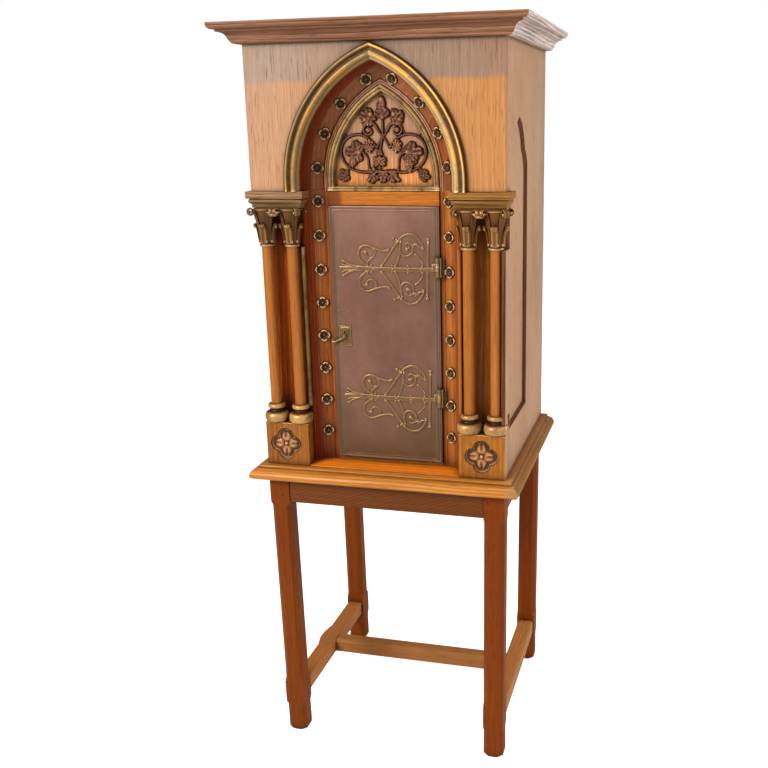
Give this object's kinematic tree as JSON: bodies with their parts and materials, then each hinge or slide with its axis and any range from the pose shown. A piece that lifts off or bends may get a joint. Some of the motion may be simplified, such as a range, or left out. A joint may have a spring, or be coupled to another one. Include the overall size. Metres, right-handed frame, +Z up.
{
  "type": "tabernacle cabinet on stand",
  "caption": "Neo-gothic oak tabernacle cabinet with a brass-faced locking door under a pointed arch, on a stretchered four-leg stand.",
  "frame": {"origin": "on the floor under the centre of the whole object's box", "axes": "+Z up, -Y out of the door side, +X to the viewer's right when facing the door"},
  "size_m": [0.6872, 0.5928, 1.72],
  "materials": {
    "stand_oak": "waxed oak, satin, darker red brown",
    "top_oak": "waxed oak, satin, warm orange",
    "side_oak": "waxed oak, satin, paler and greyer",
    "front_oak": "waxed oak, satin, ray fleck",
    "jamb_oak": "waxed oak, satin, deep orange brown",
    "gilt_oak": "carved oak with worn antique gilding",
    "carved_oak": "carved oak, dark stain with worn coppery highlights",
    "door_oak": "plain oak, matt",
    "facing_brass": "aged brass sheet with a rose brown patina",
    "fitting_brass": "aged brass, rubbed along its edges",
    "lock_steel": "plain steel, satin"
  },
  "bodies": {
    "cabinet": {"apron_front": "stand_oak", "apron_left": "stand_oak", "apron_rear": "stand_oak", "apron_right": "stand_oak", "arch_hood": "gilt_oak", "arch_rosette_band": "jamb_oak", "back_panel": "side_oak", "base_twin_left": "gilt_oak", "base_twin_right": "gilt_oak", "capital_twin_left": "gilt_oak", "capital_twin_right": "gilt_oak", "case_floor": "top_oak", "case_lid": "side_oak", "corner_board_left": "jamb_oak", "corner_board_right": "jamb_oak", "cornice_front": "front_oak", "cornice_left": "front_oak", "cornice_right": "front_oak", "frame_arch": "front_oak", "frame_stile_left": "front_oak", "frame_stile_right": "front_oak", "head_panel": "front_oak", "hinge_leaf_lower": "fitting_brass", "hinge_leaf_upper": "fitting_brass", "hinge_pin_lower": "fitting_brass", "hinge_pin_upper": "fitting_brass", "impost_left": "front_oak", "impost_right": "front_oak", "jamb_roll_left": "gilt_oak", "jamb_roll_right": "gilt_oak", "leg_front_left": "stand_oak", "leg_front_right": "stand_oak", "leg_rear_left": "stand_oak", "leg_rear_right": "stand_oak", "pedestal_left": "front_oak", "pedestal_right": "front_oak", "rosette_board_left": "jamb_oak", "rosette_board_right": "jamb_oak", "shaft_left_inner": "front_oak", "shaft_left_outer": "front_oak", "shaft_right_inner": "front_oak", "shaft_right_outer": "front_oak", "side_panel_left": "side_oak", "side_panel_right": "side_oak", "stand_top": "top_oak", "stretcher_cross": "stand_oak", "stretcher_left": "stand_oak", "stretcher_right": "stand_oak", "transom_rail": "front_oak", "tympanum_bead": "gilt_oak", "tympanum_panel": "carved_oak", "vine_relief": "carved_oak"},
    "door": {"door_board": "door_oak", "door_facing": "facing_brass", "strap_hinge_upper": "fitting_brass", "strap_hinge_lower": "fitting_brass", "escutcheon": "fitting_brass", "lock_case": "lock_steel"},
    "lever": {"lock_lever": "fitting_brass"},
    "bolt": {"lock_bolt": "lock_steel"}
  },
  "joints": [
    {"name": "door_hinge", "type": "hinge", "parent": "cabinet", "child": "door", "pos_m": [0.125, -0.1906, 1.03475], "axis": [0, 0, 1], "range_deg": [0, 110]},
    {"name": "lever_turn", "type": "hinge", "parent": "door", "child": "lever", "pos_m": [-0.1004, -0.1906, 1.0345], "axis": [0, -1, 0], "range_deg": [0, 90]},
    {"name": "bolt_slide", "type": "slide", "parent": "door", "child": "bolt", "axis": [-1, 0, 0], "range_m": [0, 0.008]}
  ],
  "couplings": [
    {"joint": "bolt_slide", "follows": "lever_turn", "m_per_rad": 0.005093}
  ]
}
